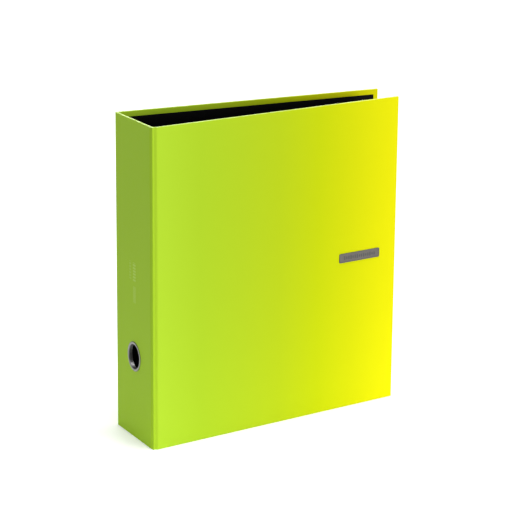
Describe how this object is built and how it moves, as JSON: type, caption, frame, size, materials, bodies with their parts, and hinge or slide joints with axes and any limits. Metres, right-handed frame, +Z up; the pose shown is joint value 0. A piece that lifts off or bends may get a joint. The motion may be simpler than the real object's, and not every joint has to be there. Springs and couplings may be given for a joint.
{
  "type": "lever arch file",
  "caption": "Upright lever arch file in covered board: hinged spine and front cover, finger ring, and a riveted mechanism whose lever swings the arches off the posts.",
  "frame": {"origin": "middle of the footprint, at the level it stands on", "axes": "+Z up the spine, +X from the spine to the fore edge, +Y from the front cover to the back cover"},
  "size_m": [0.295, 0.0864, 0.318],
  "materials": {
    "greyboard": "matt pressed greyboard",
    "printed_paper": "satin film on printed paper, lime at the spine to yellow at the fore edge",
    "black_paper": "matt embossed lining paper",
    "nickel_plate": "bright nickel plate on stamped steel",
    "nickel_wire": "nickel-plated drawn wire",
    "spring_steel": "oiled spring wire",
    "badge_metal": "satin brushed plate",
    "black_plastic": "moulded, slightly worn"
  },
  "bodies": {
    "back": {"back_board": "greyboard", "back_wrap": "printed_paper", "back_liner": "black_paper", "back_fold": "printed_paper", "base_plate": "nickel_plate", "base_rivets": "nickel_plate", "post_upper": "nickel_plate", "post_lower": "nickel_plate", "lever_pin": "nickel_wire", "arch_spring": "spring_steel"},
    "spine": {"spine_board": "greyboard", "spine_wrap": "printed_paper", "spine_liner": "black_paper", "front_fold": "printed_paper", "finger_ring": "nickel_plate", "finger_ring_washer": "nickel_plate"},
    "front_cover": {"front_board": "greyboard", "front_wrap": "printed_paper", "front_liner": "black_paper", "cover_badge": "badge_metal"},
    "arches": {"arch_wire": "nickel_wire"},
    "lever": {"lever": "nickel_plate", "roller_pin": "nickel_wire"},
    "roller": {"pressure_roller": "nickel_wire"},
    "compressor": {"compressor_bar": "nickel_plate", "compressor_grip_upper": "black_plastic", "compressor_grip_lower": "black_plastic"}
  },
  "joints": [
    {"name": "spine_fold", "type": "hinge", "parent": "back", "child": "spine", "pos_m": [-0.1439, 0.03982, 0.159], "axis": [0, 0, -1], "range_deg": [0, 90]},
    {"name": "cover_fold", "type": "hinge", "parent": "spine", "child": "front_cover", "pos_m": [-0.1439, -0.04098, 0.159], "axis": [0, 0, -1], "range_deg": [0, 180]},
    {"name": "lever_lift", "type": "hinge", "parent": "back", "child": "lever", "pos_m": [-0.093, 0.02952, 0.185], "axis": [-1, 0, 0], "range_deg": [0, 84]},
    {"name": "arch_swing", "type": "hinge", "parent": "back", "child": "arches", "pos_m": [-0.1045, 0.03102, 0.159], "axis": [0, 0, -1], "range_deg": [0, 42], "deforming": ["arch_spring"]},
    {"name": "roller_spin", "type": "hinge", "parent": "lever", "child": "roller", "pos_m": [-0.093, 0.02582, 0.171], "axis": [1, 0, 0], "continuous": true},
    {"name": "bar_slide", "type": "slide", "parent": "back", "child": "compressor", "axis": [0, -1, 0], "range_m": [0, 0.03]}
  ],
  "couplings": [
    {"joint": "arch_swing", "follows": "lever_lift", "ratio": 0.5}
  ]
}
